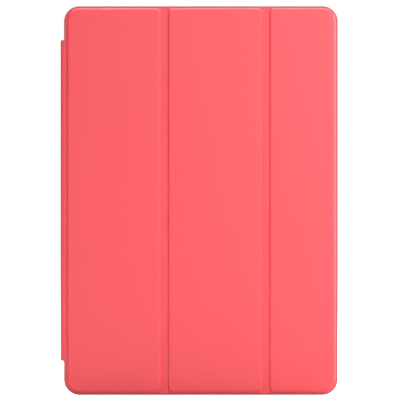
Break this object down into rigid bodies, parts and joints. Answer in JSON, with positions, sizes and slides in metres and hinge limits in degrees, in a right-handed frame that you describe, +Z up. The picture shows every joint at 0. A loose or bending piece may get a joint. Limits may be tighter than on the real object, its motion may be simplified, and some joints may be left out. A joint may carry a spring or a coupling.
{
  "type": "tablet cover",
  "caption": "Slim folding tablet cover: stiff panels in a smooth polyurethane skin with a microfibre lining, joined by soft folds, on a magnetic spine bar that clings to the tablet's edge.",
  "frame": {"origin": "centre of the spine bar's flat contact face, which lies on the long edge of the tablet, halfway through the tablet's thickness", "axes": "+X across the shut flap from the spine to the free edge; +Y through the tablet from its screen to its back, so the flap's outer face looks along -Y; +Z up along the folds"},
  "size_m": [0.1711, 0.0087, 0.24],
  "materials": {
    "skin": "satin polyurethane with a very fine grain, coral pink",
    "lining": "short-nap microfibre, matt, coral pink",
    "board": "glass-fibre reinforced sheet",
    "core": "moulded, matt",
    "magnet": "nickel-plated magnet",
    "steel": "thin cold-rolled sheet"
  },
  "bodies": {
    "spine": {"spine_skin": "skin", "spine_lining": "lining", "spine_core": "core", "spine_shunt_upper": "steel", "spine_shunt_lower": "steel", "spine_magnet_upper_1": "magnet", "spine_magnet_upper_2": "magnet", "spine_magnet_upper_3": "magnet", "spine_magnet_upper_4": "magnet", "spine_magnet_upper_5": "magnet", "spine_magnet_lower_1": "magnet", "spine_magnet_lower_2": "magnet", "spine_magnet_lower_3": "magnet", "spine_magnet_lower_4": "magnet", "spine_magnet_lower_5": "magnet"},
    "hinge_web": {"hinge_web_skin": "skin", "hinge_web_lining": "lining"},
    "hinge_panel": {"hinge_panel_skin": "skin", "hinge_panel_board": "board", "hinge_panel_lining": "lining", "keeper_1": "steel", "keeper_2": "steel", "keeper_3": "steel"},
    "near_fold": {"near_fold_skin": "skin", "near_fold_lining": "lining"},
    "middle_panel": {"middle_panel_skin": "skin", "middle_panel_board": "board", "middle_panel_lining": "lining"},
    "far_fold": {"far_fold_skin": "skin", "far_fold_lining": "lining"},
    "free_panel": {"free_panel_skin": "skin", "free_panel_board": "board", "free_panel_lining": "lining", "edge_magnet_1": "magnet", "edge_magnet_2": "magnet", "edge_magnet_3": "magnet", "edge_magnet_4": "magnet", "edge_magnet_5": "magnet", "edge_magnet_6": "magnet", "edge_magnet_7": "magnet", "edge_magnet_8": "magnet", "wake_magnet": "magnet"}
  },
  "joints": [
    {"name": "spine_fold", "type": "hinge", "parent": "spine", "child": "hinge_web", "pos_m": [-0.00183, 0.00097, 0], "axis": [0, 0, -1], "range_deg": [0, 179.9]},
    {"name": "flap_fold", "type": "hinge", "parent": "hinge_web", "child": "hinge_panel", "pos_m": [-0.00148, -0.00378, 0], "axis": [0, 0, -1], "range_deg": [0, 179.9]},
    {"name": "near_fold_spine_side", "type": "hinge", "parent": "hinge_panel", "child": "near_fold", "pos_m": [0.06035, -0.00413, 0], "axis": [0, 0, 1], "range_deg": [-82.5, 68.4]},
    {"name": "near_fold_free_side", "type": "hinge", "parent": "near_fold", "child": "middle_panel", "pos_m": [0.06375, -0.00413, 0], "axis": [0, 0, 1], "range_deg": [-82.5, 68.4]},
    {"name": "far_fold_spine_side", "type": "hinge", "parent": "middle_panel", "child": "far_fold", "pos_m": [0.12305, -0.00413, 0], "axis": [0, 0, 1], "range_deg": [-89, 60.6]},
    {"name": "far_fold_free_side", "type": "hinge", "parent": "far_fold", "child": "free_panel", "pos_m": [0.12645, -0.00413, 0], "axis": [0, 0, 1], "range_deg": [-89, 60.6]}
  ],
  "couplings": [
    {"joint": "spine_fold", "follows": "flap_fold", "ratio": 1},
    {"joint": "near_fold_spine_side", "follows": "near_fold_free_side", "ratio": 1},
    {"joint": "far_fold_spine_side", "follows": "far_fold_free_side", "ratio": 1}
  ]
}
